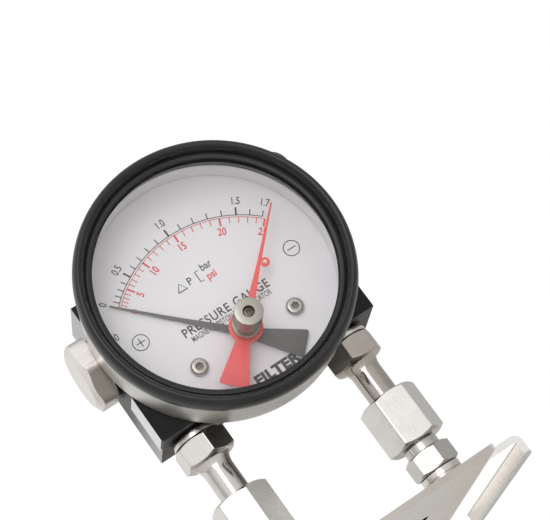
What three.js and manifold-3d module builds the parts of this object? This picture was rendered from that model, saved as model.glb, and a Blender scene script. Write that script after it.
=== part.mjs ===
// Differential pressure gauge for a compressed air filter: a magnetic piston in an
// aluminium block turns a pointer on a round dial, a hand-reset pointer keeps the
// highest reading, and two port trains stand on a folded mounting bracket.
//
// Millimetres, +Z up. The assembly is drawn about the pointers' pivot on the dial's
// front face, with the dial facing -Y, and one group then moves the origin to the
// surface that the bracket stands on, under the middle of the whole assembly.
import * as THREE from 'three';
import { mergeVertices } from 'three/addons/utils/BufferGeometryUtils.js';
import Module from 'manifold-3d';

const wasm = await Module();
wasm.setup();

// ---------------------------------------------------------------- driving dimensions
const GAP = 0.3;                    // kept between pieces that touch or rest on each other
const WIDE = 40;                    // sides of the case's rounds
const ROUND = 20;                   // sides of turned fittings and the bore
const SMALL = 12;                   // sides of small rounds and inner rings

const DIAL_CENTRE_Z = 22.85;        // the case's axis stands above the pointers' pivot
const CASE_RADIUS = 56.9;
const CASE_WALL = 1.2;
const CASE_BACK_Y = 3.5;
const CASE_RIM_Y = -19.5;
const DIAL_THICKNESS = 0.8;
const DIAL_RADIUS = 55.2;
const BEZEL_RADIUS = 58.5;
const BEZEL_OPENING = 50.5;
const WINDOW_FRONT_Y = -14.4;
const WINDOW_THICKNESS = 2.2;

const POINTER_RADIUS = 57.2;
const TAIL_RADIUS = 26;
const BLADE_THICKNESS = 0.5;
const POINTER_ZERO_DEG = 135.08;    // from +X towards +Z, seen on the dial
const FOLLOWER_REST_DEG = 44.43;
const POINTER_Y = -1.2;             // rear faces of the two blades
const FOLLOWER_Y = -7.6;
const HUB_RADIUS = 7.2;             // of the reset pointer; the driven one is smaller
const DRIVEN_HUB_RADIUS = 4.5;

const KNOB_RADIUS = 6;
const KNOB_FRONT_Y = -26.9;
const SHAFT_RADIUS = 1.5;

const SCREW_X = 24.1;
const SCREW_Z = -2;

const BLOCK_HALF_WIDTH = 53.3;
const BLOCK_TOP_Z = 50.1;
const BLOCK_BOTTOM_Z = -18.9;
const BLOCK_FRONT_Y = 3.8;
const BLOCK_BACK_Y = 36.8;
const BORE_RADIUS = 11.5;
const BORE_Z = 25.6;
const BORE_Y = (BLOCK_FRONT_Y + BLOCK_BACK_Y) / 2;
const BORE_END_X = 44;
const PLUG_HEX = 30;                // across flats
const PLUG_TURN_DEG = 38;           // where it stopped when it was tightened
const PLUG_HEAD = 9.4;
const PLUG_STAND_OFF = 2;
const PLUG_FACE_RADIUS = 12.4;      // inside the outer chamfer
const PLUG_CORNER_RADIUS = 16.4;    // the bar's corners are turned to this
const MAGNET_POCKET_RADIUS = 6.5;
const MAGNET_POCKET_END_Y = 17;

const PISTON_RADIUS = 11;
const PISTON_LEFT_X = -30;
const PISTON_RIGHT_X = -1;

const PORT_X = 38.1;                // both ports stand this far from the middle
const PORT_BORE = 2.5;
const ADAPTOR_HEX = 22;
const COUPLING_HEX = 24;
const STUD_HEX = 19;
const NECK_RADIUS = 6.75;           // quarter-inch pipe size

const BRACKET_TOP_Z = -95;
const BRACKET_SHEET = 3.2;
const BRACKET_FRONT_Y = 2;
const BRACKET_BACK_Y = 140;
const BRACKET_HALF_WIDTH = 75;
const BRACKET_BEND = 4.2;             // outer radius
const BRACKET_HOLE_X = 28.5;
const BRACKET_HOLE_Y = 61;
const BRACKET_HOLE_RADIUS = 5;
const RELIEF_X = 58;                // the notches beside the bends begin here
const FLANGE_FRONT_Y = 18;
const FLANGE_BOTTOM_Z = -105.5;

// ---------------------------------------------------------------- solids and booleans
function toSolid(geometry) {
  const plain = geometry.clone();
  plain.deleteAttribute('normal');
  plain.deleteAttribute('uv');
  const merged = mergeVertices(plain, 1e-4);
  const solid = new wasm.Manifold(new wasm.Mesh({
    numProp: 3,
    vertProperties: Float32Array.from(merged.attributes.position.array),
    triVerts: insideIn(merged),
  }));
  return solid;
}

// Triangles of a merged geometry, turned over if the surface encloses a negative volume.
function insideIn(merged) {
  const index = Uint32Array.from(merged.index.array);
  const p = merged.attributes.position;
  const [a, b, c] = [new THREE.Vector3(), new THREE.Vector3(), new THREE.Vector3()];
  let volume = 0;
  for (let i = 0; i < index.length; i += 3) {
    a.fromBufferAttribute(p, index[i]);
    b.fromBufferAttribute(p, index[i + 1]);
    c.fromBufferAttribute(p, index[i + 2]);
    volume += a.dot(b.cross(c));
  }
  return volume < 0 ? index.reverse() : index;
}

function toGeometry(solid) {
  const mesh = solid.getMesh();
  const geometry = new THREE.BufferGeometry();
  geometry.setAttribute('position', new THREE.BufferAttribute(mesh.vertProperties.slice(), 3));
  geometry.setIndex(new THREE.BufferAttribute(mesh.triVerts.slice(), 1));
  return geometry;
}

const cut = (solid, ...tools) => tools.reduce((left, tool) => left.subtract(tool), solid);
const join = (solid, ...others) => others.reduce((sum, other) => sum.add(other), solid);

// A profile of [radius, height] points turned about an axis through (0, 0, 0).
function turned(axis, profile, segments, closed = false) {
  const points = profile.map(([radius, height]) => new THREE.Vector2(radius, height));
  if (closed) points.push(points[0].clone());
  const geometry = new THREE.LatheGeometry(points, segments);
  if (axis === 'z') geometry.rotateX(Math.PI / 2);
  if (axis === 'x') geometry.rotateZ(-Math.PI / 2);
  return geometry;
}

// A rod or a disc along an axis, from height low to height high, about a centre line.
function rod(axis, radius, low, high, at = [0, 0, 0], segments = SMALL) {
  const profile = [[0, low], [radius, low], [radius, high], [0, high]];
  return toSolid(turned(axis, profile, segments).translate(...at));
}

function ring(axis, inner, outer, low, high, at = [0, 0, 0], segments = SMALL) {
  const profile = [[inner, low], [outer, low], [outer, high], [inner, high]];
  return toSolid(turned(axis, profile, segments, true).translate(...at));
}

function box(x, y, z) {
  const geometry = new THREE.BoxGeometry(x[1] - x[0], y[1] - y[0], z[1] - z[0]);
  return toSolid(geometry.translate((x[0] + x[1]) / 2, (y[0] + y[1]) / 2, (z[0] + z[1]) / 2));
}

// A hexagonal bar along an axis, its corners turned down at both ends or at the low end.
function hexBar(axis, acrossFlats, low, high, turnDeg, options = {}) {
  const corner = acrossFlats / Math.sqrt(3);
  const { chamferHigh = true, round = acrossFlats * 0.48, reach = corner + 1 } = options;
  const shape = new THREE.Shape();
  for (let k = 0; k < 6; k += 1) {
    const angle = THREE.MathUtils.degToRad(turnDeg + 60 * k);
    const point = [corner * Math.cos(angle), corner * Math.sin(angle)];
    if (k === 0) shape.moveTo(...point);
    else shape.lineTo(...point);
  }
  const bar = new THREE.ExtrudeGeometry(shape, { depth: high - low, bevelEnabled: false });
  bar.translate(0, 0, low);
  const drop = (reach - round) * Math.tan(Math.PI / 6);
  const turnedEnds = turned('z', [
    [0, low], [round, low], [reach, low + drop],
    [reach, high - (chamferHigh ? drop : 0.01)], [chamferHigh ? round : reach, high], [0, high],
  ], 24);
  let solid = toSolid(bar).intersect(toSolid(turnedEnds));
  if (axis === 'x') solid = toSolid(toGeometry(solid).rotateY(Math.PI / 2));
  return solid;
}

// A flat outline in the dial's plane (x to the right, z up) given depth along Y.
function plate(shape, rearY, thickness, curveSegments = 8) {
  const geometry = new THREE.ExtrudeGeometry(shape, {
    depth: thickness, bevelEnabled: false, curveSegments,
  });
  return toSolid(geometry.rotateX(Math.PI / 2).translate(0, rearY, 0));
}

// ---------------------------------------------------------------- materials and nodes
const FINISH = {
  steel: { color: 0xb3aea6, roughness: 0.32, metalness: 1 },
  brightSteel: { color: 0xc9c5bd, roughness: 0.24, metalness: 1 },
  black: { color: 0x26282a, roughness: 0.5, metalness: 0.4 },
  rubber: { color: 0x2b2c2e, roughness: 0.7, metalness: 0 },
  white: { color: 0xdcd8da, roughness: 0.6, metalness: 0 },
  grey: { color: 0x6e6c6a, roughness: 0.6, metalness: 0 },
  red: { color: 0xe8605c, roughness: 0.6, metalness: 0 },
  brass: { color: 0xb08d57, roughness: 0.35, metalness: 1 },
  magnet: { color: 0x55534f, roughness: 0.5, metalness: 0.6 },
  clear: { color: 0xeef3f4, roughness: 0.05, metalness: 0 },
};

const gauge = new THREE.Group();
gauge.position.set(0, -(KNOB_FRONT_Y + BRACKET_BACK_Y) / 2, -FLANGE_BOTTOM_Z);

const onDialAxis = [0, 0, DIAL_CENTRE_Z];

function addNode(name, solid, finish) {
  const mesh = new THREE.Mesh(toGeometry(solid), new THREE.MeshStandardMaterial(FINISH[finish]));
  mesh.name = name;
  gauge.add(mesh);
}

// ---------------------------------------------------------------- case, dial and window
function caseCup() {
  const profile = [
    [0, CASE_BACK_Y], [CASE_RADIUS, CASE_BACK_Y], [CASE_RADIUS, CASE_RIM_Y],
    [CASE_RADIUS - CASE_WALL, CASE_RIM_Y],
    [CASE_RADIUS - CASE_WALL, CASE_BACK_Y - CASE_WALL], [0, CASE_BACK_Y - CASE_WALL],
  ];
  const cup = toSolid(turned('y', profile, WIDE).translate(...onDialAxis));
  const arborHole = rod('y', MAGNET_POCKET_RADIUS + GAP, 0, 5);
  const ventHole = ventRod(VENT_STEM_RADIUS + GAP, CASE_RADIUS - 5, CASE_RADIUS + 2);
  return cut(cup, arborHole, ventHole, screwHole(-1), screwHole(1));
}

const VENT_STEM_RADIUS = 3;
const VENT_HEAD_RADIUS = 5.2;
const VENT_TOP_RADIUS = 63;
const VENT_Y = -10.5;
const VENT_DEG = 30;

// Turned about the vent's line, which stands out from the case's wall at an angle.
function aboutVent(profile) {
  const geometry = turned('x', profile, 16).rotateY(-THREE.MathUtils.degToRad(VENT_DEG));
  return toSolid(geometry.translate(0, VENT_Y, DIAL_CENTRE_Z));
}

function ventRod(radius, from, to) {
  return aboutVent([[0, from], [radius, from], [radius, to], [0, to]]);
}

function caseVentPlug() {
  const [low, high] = [CASE_RADIUS + GAP, VENT_TOP_RADIUS];
  const head = aboutVent([
    [0, low], [VENT_HEAD_RADIUS, low], [VENT_HEAD_RADIUS, high - 2],
    [VENT_HEAD_RADIUS - 0.6, high - 0.6], [VENT_HEAD_RADIUS - 2, high], [0, high],
  ]);
  return join(ventRod(VENT_STEM_RADIUS, CASE_RADIUS - CASE_WALL, CASE_RADIUS + 2), head);
}

function screwHole(side) {
  return rod('y', SCREW_SHANK + GAP, -1, 16, [side * SCREW_X, 0, SCREW_Z]);
}

const SCREW_SHANK = 2;
const SCREW_HEAD_RADIUS = 3.9;
const SPACER_RADIUS = 4.4;

function dialScrew(side) {
  const profile = [
    [0, 12], [SCREW_SHANK, 12], [SCREW_SHANK, -GAP], [SCREW_HEAD_RADIUS, -GAP],
    [SCREW_HEAD_RADIUS, -0.8], [3.4, -1.6], [2.5, -2.3], [0, -2.3],
  ];
  const at = [side * SCREW_X, 0, SCREW_Z];
  const screw = toSolid(turned('y', profile, SMALL).translate(...at));
  const socket = toSolid(turned('y', [[0, -3], [1.45, -3], [1.45, -0.9], [0, -0.9]], 6)
    .translate(...at));
  return cut(screw, socket);
}

function dialSpacer(side) {
  const at = [side * SCREW_X, 0, SCREW_Z];
  const low = DIAL_THICKNESS + GAP;
  return ring('y', SCREW_SHANK + GAP, SPACER_RADIUS, low, CASE_BACK_Y - CASE_WALL - GAP, at);
}

function dialPlate() {
  const disc = rod('y', DIAL_RADIUS, 0, DIAL_THICKNESS, onDialAxis, WIDE);
  return cut(disc, rod('y', 2, -1, 2), screwHole(-1), screwHole(1));
}

// The bezel's bead is half an ellipse; its lip lies lower and slopes in to the opening.
function bezelRing() {
  const bead = { radius: 55.9, y: -20.4, width: BEZEL_RADIUS - 55.9, height: 6.1 };
  const profile = [[57.2, -19.8], [57.2, -16.9], [58.2, -17.8]];
  for (let deg = 0; deg <= 156; deg += 26) {
    const angle = THREE.MathUtils.degToRad(deg);
    profile.push([
      bead.radius + bead.width * Math.cos(angle), bead.y - bead.height * Math.sin(angle),
    ]);
  }
  profile.push([51.2, -22.4], [BEZEL_OPENING, -21.6], [BEZEL_OPENING + 0.8, WINDOW_FRONT_Y - GAP]);
  profile.push([55.4, WINDOW_FRONT_Y - GAP], [55.4, -19.8]);
  return toSolid(turned('y', profile, WIDE, true).translate(...onDialAxis));
}

const WINDOW_BACK_Y = WINDOW_FRONT_Y + WINDOW_THICKNESS;
const BUSHING_NECK = 2.8;

function clearWindow() {
  const disc = rod('y', DIAL_RADIUS, WINDOW_FRONT_Y, WINDOW_BACK_Y, onDialAxis, WIDE);
  return cut(disc, rod('y', BUSHING_NECK + GAP, WINDOW_FRONT_Y - 1, WINDOW_BACK_Y + 1));
}

const GASKET_BACK_Y = WINDOW_BACK_Y + 1.8;

function windowGasket() {
  return ring('y', 52.8, DIAL_RADIUS, WINDOW_BACK_Y + GAP, GASKET_BACK_Y, onDialAxis, WIDE);
}

function spacerRing() {
  return ring('y', 52.6, DIAL_RADIUS, GASKET_BACK_Y + GAP, -GAP, onDialAxis, WIDE);
}

addNode('case_cup', caseCup(), 'steel');
addNode('case_vent_plug', caseVentPlug(), 'rubber');
addNode('dial_plate', dialPlate(), 'white');
addNode('spacer_ring', spacerRing(), 'grey');
addNode('window_gasket', windowGasket(), 'rubber');
addNode('window', clearWindow(), 'clear');
addNode('bezel_ring', bezelRing(), 'rubber');
for (const [side, word] of [[-1, 'left'], [1, 'right']]) {
  addNode(`dial_screw_${word}`, dialScrew(side), 'brightSteel');
  addNode(`dial_spacer_${word}`, dialSpacer(side), 'brass');
}

// ---------------------------------------------------------------- pointers
// Drawn along +X and then turned up to its angle on the dial.
function blade(hub, tailRootHalf, bore) {
  const shape = new THREE.Shape();
  const tailStart = Math.sqrt(hub ** 2 - tailRootHalf ** 2);
  const corner = 1.2;
  const tailHalf = 6.2;
  const spread = Math.atan2(1.85, Math.sqrt(hub ** 2 - 1.85 ** 2));
  const tailSpread = Math.atan2(tailRootHalf, tailStart);
  shape.moveTo(hub * Math.cos(spread), hub * Math.sin(spread));
  shape.absarc(0, 0, hub, spread, Math.PI - tailSpread, false);
  shape.lineTo(-TAIL_RADIUS + corner * 1.1, tailHalf - 0.2);
  shape.quadraticCurveTo(-TAIL_RADIUS, tailHalf, -TAIL_RADIUS, tailHalf - corner);
  shape.lineTo(-TAIL_RADIUS, -tailHalf + corner);
  shape.quadraticCurveTo(-TAIL_RADIUS, -tailHalf, -TAIL_RADIUS + corner * 1.1, -tailHalf + 0.2);
  shape.lineTo(-tailStart, -tailRootHalf);
  shape.absarc(0, 0, hub, Math.PI + tailSpread, 2 * Math.PI - spread, false);
  shape.lineTo(27, -0.9);
  shape.lineTo(POINTER_RADIUS, -0.3);
  shape.lineTo(POINTER_RADIUS, 0.3);
  shape.lineTo(27, 0.9);
  const hole = new THREE.Path();
  hole.absarc(0, 0, bore, 0, Math.PI * 2, true);
  shape.holes.push(hole);
  return shape;
}

const POINTER_HUB_RADIUS = 3;
const ARBOR_RADIUS = 1;
const EYELET = { along: 29.9, across: -2.35, outer: 2.1, inner: 0.95 };

function onBlade(solid, degrees) {
  return toSolid(toGeometry(solid).rotateY(-THREE.MathUtils.degToRad(degrees)));
}

function followerBlade() {
  const at = [EYELET.along, 0, EYELET.across];
  const [rear, front] = [FOLLOWER_Y, FOLLOWER_Y - BLADE_THICKNESS];
  const flat = plate(blade(HUB_RADIUS, 3, SHAFT_RADIUS + GAP), rear, BLADE_THICKNESS);
  const eye = rod('y', EYELET.outer, front, rear, at, 16);
  const hole = rod('y', EYELET.inner, front - 1, rear + 1, at);
  return onBlade(cut(join(flat, eye), hole), FOLLOWER_REST_DEG);
}

const KNOB_REAR_Y = WINDOW_FRONT_Y - 0.4;
const COUNTERBORE_Y = KNOB_FRONT_Y + 3.3;
const BORE_IN_KNOB = SHAFT_RADIUS + GAP;

function resetKnob() {
  const profile = [
    [2.45, KNOB_FRONT_Y], [KNOB_RADIUS - 0.4, KNOB_FRONT_Y], [KNOB_RADIUS, KNOB_FRONT_Y + 0.4],
    [KNOB_RADIUS, KNOB_REAR_Y - 0.3], [KNOB_RADIUS - 0.3, KNOB_REAR_Y],
    [BORE_IN_KNOB, KNOB_REAR_Y], [BORE_IN_KNOB, COUNTERBORE_Y], [2.45, COUNTERBORE_Y],
  ];
  return toSolid(turned('y', profile, 24, true));
}

function knobScrew() {
  const headRear = COUNTERBORE_Y - GAP;
  const profile = [
    [0, headRear - 1.8], [2, headRear - 1.8], [2, headRear], [1.2, headRear],
    [1.2, headRear + 1.6], [0, headRear + 1.6],
  ];
  const socket = toSolid(turned('y', [[0, -30], [1, -30], [1, headRear - 0.8], [0, headRear - 0.8]], 6));
  return cut(toSolid(turned('y', profile, SMALL)), socket);
}

function knobBushing() {
  const inner = BORE_IN_KNOB;
  const flangeFront = WINDOW_BACK_Y + GAP;
  const profile = [
    [inner, WINDOW_FRONT_Y], [BUSHING_NECK, WINDOW_FRONT_Y], [BUSHING_NECK, flangeFront],
    [5.9, flangeFront], [5.9, -8.6], [inner, -8.6],
  ];
  return toSolid(turned('y', profile, ROUND, true));
}

const drivenBlade = plate(
  blade(DRIVEN_HUB_RADIUS, 2.5, POINTER_HUB_RADIUS + GAP), POINTER_Y, BLADE_THICKNESS,
);
addNode('pointer', onBlade(drivenBlade, POINTER_ZERO_DEG), 'grey');
addNode('pointer_hub', ring('y', ARBOR_RADIUS + GAP, POINTER_HUB_RADIUS, -3.2, -0.4), 'brass');
addNode('pointer_arbor', rod('y', ARBOR_RADIUS, -2.9, 15.8), 'brightSteel');
addNode('magnet_carrier', ring('y', ARBOR_RADIUS + GAP, 3, 7, 14), 'brass');
addNode('rotary_magnet', ring('y', 3.3, 5.6, 7.5, 13.5), 'magnet');
addNode('follower_pointer', followerBlade(), 'red');
addNode('follower_hub', ring('y', BORE_IN_KNOB, 4, -7.3, -5.6), 'brass');
addNode('follower_pin', onBlade(
  rod('y', EYELET.inner - GAP, -9, -6.8, [EYELET.along, 0, EYELET.across]), FOLLOWER_REST_DEG,
), 'white');
addNode('reset_knob', resetKnob(), 'brightSteel');
addNode('knob_screw', knobScrew(), 'steel');
addNode('knob_shaft', rod('y', SHAFT_RADIUS, COUNTERBORE_Y + 2, -5.8), 'steel');
addNode('knob_bushing', knobBushing(), 'brass');

const bearing = (low, high) => ring('y', ARBOR_RADIUS + 0.25, MAGNET_POCKET_RADIUS - GAP, low, high);
addNode('arbor_bearing_front', bearing(BLOCK_FRONT_Y + GAP, BLOCK_FRONT_Y + 2.2), 'brass');
addNode('arbor_bearing_rear', bearing(MAGNET_POCKET_END_Y - 2.2, MAGNET_POCKET_END_Y - GAP), 'brass');

// ---------------------------------------------------------------- block, piston and spring
const onBore = [0, BORE_Y, BORE_Z];
const ADAPTOR_THREAD_RADIUS = 6.4;
const ADAPTOR_TOP_Z = BLOCK_BOTTOM_Z + 13;

function bodyBlock() {
  const body = box(
    [-BLOCK_HALF_WIDTH, BLOCK_HALF_WIDTH], [BLOCK_FRONT_Y, BLOCK_BACK_Y],
    [BLOCK_BOTTOM_Z, BLOCK_TOP_Z],
  );
  const bore = rod('x', BORE_RADIUS, -BLOCK_HALF_WIDTH - 1, BORE_END_X, onBore, ROUND);
  const pocket = rod('y', MAGNET_POCKET_RADIUS, BLOCK_FRONT_Y - 1, MAGNET_POCKET_END_Y);
  const ports = [-PORT_X, PORT_X].flatMap((x) => [
    rod('z', ADAPTOR_THREAD_RADIUS + GAP, BLOCK_BOTTOM_Z - 1, ADAPTOR_TOP_Z + 1, [x, BORE_Y, 0], ROUND),
    rod('z', 4.5, BLOCK_BOTTOM_Z, BORE_Z, [x, BORE_Y, 0]),
  ]);
  return cut(body, bore, pocket, screwHole(-1), screwHole(1), ...ports);
}

const PLUG_HEAD_RIGHT_X = -BLOCK_HALF_WIDTH - PLUG_STAND_OFF;
const PLUG_LEFT_X = PLUG_HEAD_RIGHT_X - PLUG_HEAD;
const PLUG_SHANK_END_X = -44;

function endPlug() {
  const ends = [PLUG_LEFT_X, PLUG_HEAD_RIGHT_X];
  const head = hexBar('x', PLUG_HEX, ...ends, PLUG_TURN_DEG, {
    chamferHigh: false, round: PLUG_FACE_RADIUS, reach: PLUG_CORNER_RADIUS,
  });
  const at = [0, 0, 0];
  const shank = rod('x', PISTON_RADIUS, PLUG_HEAD_RIGHT_X - 1, PLUG_SHANK_END_X, at, ROUND);
  const centreHole = rod('x', 6, PLUG_SHANK_END_X - 6, PLUG_SHANK_END_X + 1, at, ROUND);
  return cut(join(head, shank), centreHole).translate(onBore);
}

function piston() {
  const seal = { from: -27.5, to: -24.9, radius: 9.6 };
  const profile = [
    [0, PISTON_LEFT_X], [PISTON_RADIUS - 0.6, PISTON_LEFT_X], [PISTON_RADIUS, PISTON_LEFT_X + 0.6],
    [PISTON_RADIUS, seal.from], [seal.radius, seal.from], [seal.radius, seal.to],
    [PISTON_RADIUS, seal.to], [PISTON_RADIUS, PISTON_RIGHT_X], [8, PISTON_RIGHT_X],
    [8, MAGNET_LEFT_X - GAP], [0, MAGNET_LEFT_X - GAP],
  ];
  return toSolid(turned('x', profile, ROUND).translate(...onBore));
}

const MAGNET_LEFT_X = -10.2;
const MAGNET_RIGHT_X = -2.4;

// One closed coil spring, drawn as a round wire along a helix.
class Helix extends THREE.Curve {
  constructor(radius, from, to, turns) {
    super();
    Object.assign(this, { radius, from, to, turns });
  }

  getPoint(t, target = new THREE.Vector3()) {
    const angle = 2 * Math.PI * this.turns * t;
    return target.set(
      this.from + (this.to - this.from) * t,
      BORE_Y + this.radius * Math.cos(angle), BORE_Z + this.radius * Math.sin(angle),
    );
  }
}

const SPRING_TURNS = 6;
const SPRING_WIRE = 0.8;
const SEAT_LEFT_X = BORE_END_X - 3;

function rangeSpring() {
  const wire = new THREE.Shape();
  wire.absarc(0, 0, SPRING_WIRE, 0, 2 * Math.PI, false);
  const left = PISTON_RIGHT_X + SPRING_WIRE + GAP;
  const right = SEAT_LEFT_X - SPRING_WIRE - GAP;
  return toSolid(new THREE.ExtrudeGeometry(wire, {
    steps: SPRING_TURNS * 10, curveSegments: 3,
    extrudePath: new Helix(9.5, left, right, SPRING_TURNS),
  }));
}

// The blank rating strip on the block's left end, along the front edge.
function labelStrip() {
  const left = -BLOCK_HALF_WIDTH - 0.4;
  return box([left - 0.2, left + 0.1], [BLOCK_FRONT_Y + 0.7, BLOCK_FRONT_Y + 15], [-18.2, 3.6]);
}

const plugRing = (inner, outer, low, high) => ring('x', inner, outer, low, high, onBore, ROUND);
const plugFace = -BLOCK_HALF_WIDTH;
addNode('body_block', bodyBlock(), 'black');
addNode('end_plug', endPlug(), 'brightSteel');
addNode('plug_o_ring', plugRing(PISTON_RADIUS + GAP, 13.6, plugFace - 0.8, plugFace - GAP), 'rubber');
addNode('plug_washer', plugRing(PISTON_RADIUS + GAP, 14, plugFace - 1.7, plugFace - 1.1), 'brightSteel');
addNode('piston', piston(), 'steel');
addNode('piston_seal', ring('x', 9.9, 11.05, -27.2, -25.2, onBore, ROUND), 'rubber');
addNode('piston_magnet', rod('x', 7.7, MAGNET_LEFT_X, MAGNET_RIGHT_X, onBore), 'magnet');
addNode('magnet_clip', ring('x', 3, 7.7, MAGNET_RIGHT_X + GAP, PISTON_RIGHT_X - 0.1, onBore), 'steel');
addNode('range_spring', rangeSpring(), 'steel');
addNode('spring_seat', ring('x', 5, PISTON_RADIUS, SEAT_LEFT_X, BORE_END_X - GAP, onBore), 'brass');
addNode('label_strip', labelStrip(), 'white');

// ---------------------------------------------------------------- port trains
// Heights down one train, the same on both sides.
const SEAL_Z = [BLOCK_BOTTOM_Z - 0.9, BLOCK_BOTTOM_Z - GAP];
const COLLAR_Z = [SEAL_Z[0] - 2.6, SEAL_Z[0] - GAP];
const ADAPTOR_HEX_Z = [COLLAR_Z[0] - 10.8, COLLAR_Z[0] - GAP];
const COUPLING_Z = [-75.4, -51.5];
const STUD_HEX_Z = [-89.5, -79.9];
const STUD_COLLAR_Z = [BRACKET_TOP_Z + GAP, STUD_HEX_Z[0] - GAP];
const STUD_THREAD_RADIUS = 6;
const STUD_END_Z = BRACKET_TOP_Z + GAP;

function portAdaptor(turnDeg) {
  const [hexLow, hexHigh] = ADAPTOR_HEX_Z;
  const bottom = COUPLING_Z[1] - 9;
  const profile = [[0, ADAPTOR_TOP_Z], [ADAPTOR_THREAD_RADIUS - 0.8, ADAPTOR_TOP_Z]];
  profile.push([ADAPTOR_THREAD_RADIUS, ADAPTOR_TOP_Z - 0.8], [ADAPTOR_THREAD_RADIUS, hexHigh - 0.1]);
  profile.push([ADAPTOR_THREAD_RADIUS, hexLow + 1], [9.4, hexLow + 1], [9.4, hexLow]);
  for (let k = 1; k <= 3; k += 1) {
    const angle = (k / 3) * (Math.PI / 2);
    const shoulder = 9.4 - NECK_RADIUS;
    profile.push([
      NECK_RADIUS + shoulder * (1 - Math.sin(angle)), hexLow - 5.5 * (1 - Math.cos(angle)),
    ]);
  }
  profile.push([NECK_RADIUS, COUPLING_Z[1] + 0.5], [5.9, COUPLING_Z[1]], [5.9, bottom], [0, bottom]);
  const body = toSolid(turned('z', profile, ROUND));
  const hex = hexBar('z', ADAPTOR_HEX, hexLow, hexHigh, turnDeg);
  return cut(join(body, hex), rod('z', PORT_BORE, bottom - 1, ADAPTOR_TOP_Z + 1));
}

function coupling(turnDeg) {
  const [low, high] = COUPLING_Z;
  const hex = hexBar('z', COUPLING_HEX, low, high, turnDeg);
  return cut(hex, rod('z', 6.2, low - 1, high + 1, [0, 0, 0], ROUND));
}

function portStud(turnDeg) {
  const [hexLow, hexHigh] = STUD_HEX_Z;
  const top = COUPLING_Z[0] + 9;
  const profile = [
    [0, top], [5.9, top], [5.9, COUPLING_Z[0] - 0.2], [7.8, COUPLING_Z[0] - 0.6],
    [7.8, hexHigh - 0.5], [STUD_THREAD_RADIUS, hexHigh - 0.5],
    [STUD_THREAD_RADIUS, STUD_END_Z], [0, STUD_END_Z],
  ];
  const body = toSolid(turned('z', profile, ROUND));
  const hex = hexBar('z', STUD_HEX, hexLow, hexHigh, turnDeg);
  return cut(join(body, hex), rod('z', PORT_BORE, STUD_END_Z - 1, top + 1));
}

function studCollar() {
  const [low, high] = STUD_COLLAR_Z;
  const groove = low + 1.5;
  const profile = [
    [6.3, low], [9.3, low], [9.3, groove - 0.5], [8.5, groove - 0.2], [8.5, groove + 0.2],
    [9.3, groove + 0.5], [9.3, high - 0.4], [8.7, high], [6.3, high],
  ];
  return toSolid(turned('z', profile, ROUND, true));
}

// Each hexagon stops where it was tightened, so every train has its own turns.
const TRAINS = [
  { word: 'left', x: -PORT_X, adaptor: 35, coupling: 40, stud: 22 },
  { word: 'right', x: PORT_X, adaptor: 9, coupling: 55, stud: 37.5 },
];
for (const train of TRAINS) {
  const place = (solid) => solid.translate([train.x, BORE_Y, 0]);
  const node = (name, solid, finish) => addNode(`${name}_${train.word}`, place(solid), finish);
  node('port_seal', ring('z', ADAPTOR_THREAD_RADIUS + GAP, 8.6, ...SEAL_Z, [0, 0, 0], ROUND), 'rubber');
  const collar = ring('z', ADAPTOR_THREAD_RADIUS + GAP, 10.9, ...COLLAR_Z, [0, 0, 0], ROUND);
  node('port_collar', collar, 'brightSteel');
  node('port_adaptor', portAdaptor(train.adaptor), 'brightSteel');
  node('coupling', coupling(train.coupling), 'brightSteel');
  node('port_stud', portStud(train.stud), 'brightSteel');
  node('stud_collar', studCollar(), 'brightSteel');
}

// ---------------------------------------------------------------- mounting bracket
// A folded tray: one sheet with a flange turned down at each side and a relief notch
// beside each bend at the sheet's front edge.
function mountingBracket() {
  const [outer, sheet, top, bend] = [BRACKET_HALF_WIDTH, BRACKET_SHEET, BRACKET_TOP_Z, BRACKET_BEND];
  const fold = new THREE.Shape();
  fold.moveTo(-outer, FLANGE_BOTTOM_Z);
  fold.lineTo(-outer, top - bend);
  fold.absarc(-outer + bend, top - bend, bend, Math.PI, Math.PI / 2, true);
  fold.lineTo(outer - bend, top);
  fold.absarc(outer - bend, top - bend, bend, Math.PI / 2, 0, true);
  fold.lineTo(outer, FLANGE_BOTTOM_Z);
  fold.lineTo(outer - sheet, FLANGE_BOTTOM_Z);
  fold.lineTo(outer - sheet, top - bend);
  fold.absarc(outer - bend, top - bend, bend - sheet, 0, Math.PI / 2, false);
  fold.lineTo(-outer + bend, top - sheet);
  fold.absarc(-outer + bend, top - bend, bend - sheet, Math.PI / 2, Math.PI, false);
  fold.lineTo(-outer + sheet, FLANGE_BOTTOM_Z);
  const tray = plate(fold, BRACKET_BACK_Y, BRACKET_BACK_Y - BRACKET_FRONT_Y, 12);
  const through = [top - 20, top + 1];
  const notches = [[-outer - 1, -RELIEF_X], [RELIEF_X, outer + 1]].map(
    (x) => box(x, [BRACKET_FRONT_Y - 1, FLANGE_FRONT_Y], through),
  );
  const holes = [-1, 1].map((side) => (
    rod('z', BRACKET_HOLE_RADIUS, ...through, [side * BRACKET_HOLE_X, BRACKET_HOLE_Y, 0], ROUND)
  ));
  return cut(tray, ...notches, ...holes);
}

addNode('mounting_bracket', mountingBracket(), 'steel');

const model = new THREE.Group();
model.add(gauge);
export default model;
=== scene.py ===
"""Looks of a differential pressure gauge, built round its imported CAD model.

Sizes in this script are millimetres about the pointers' pivot on the dial's front face,
as in the CAD source; put() turns them into metres in the row frame.
"""

import math

import bmesh
import bpy
import numpy as np
from mathutils import Matrix, Vector


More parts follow.
